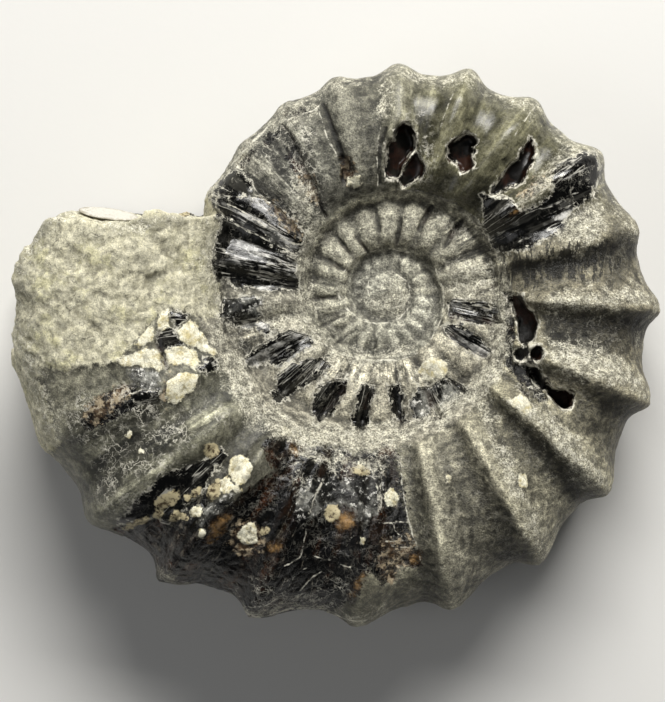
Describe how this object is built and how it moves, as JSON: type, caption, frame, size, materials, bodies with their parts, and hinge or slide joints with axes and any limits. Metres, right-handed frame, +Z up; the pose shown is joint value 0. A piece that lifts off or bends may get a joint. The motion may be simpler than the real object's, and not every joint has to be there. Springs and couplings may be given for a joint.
{
  "type": "ammonite fossil",
  "caption": "Ribbed ammonite fossil lying on its side: a coiled shell turned to stone, with broken hollows, a rough broken end and a blank paper label.",
  "frame": {"origin": "on the floor that the fossil rests on, under the middle of its bounding box", "axes": "+Z up, square to the floor; +X and +Y along the floor, the coil seen from above grows clockwise and its broken end faces +Y on the -X side"},
  "size_m": [0.162, 0.1406, 0.0543],
  "materials": {
    "fossil_stone": "grey-olive stone with glossy black and brown shell, cream calcite spots and a matt khaki infill",
    "label_paper": "matt white paper, blank"
  },
  "bodies": {
    "root": {"ammonite": "fossil_stone", "label": "label_paper"}
  },
  "joints": []
}
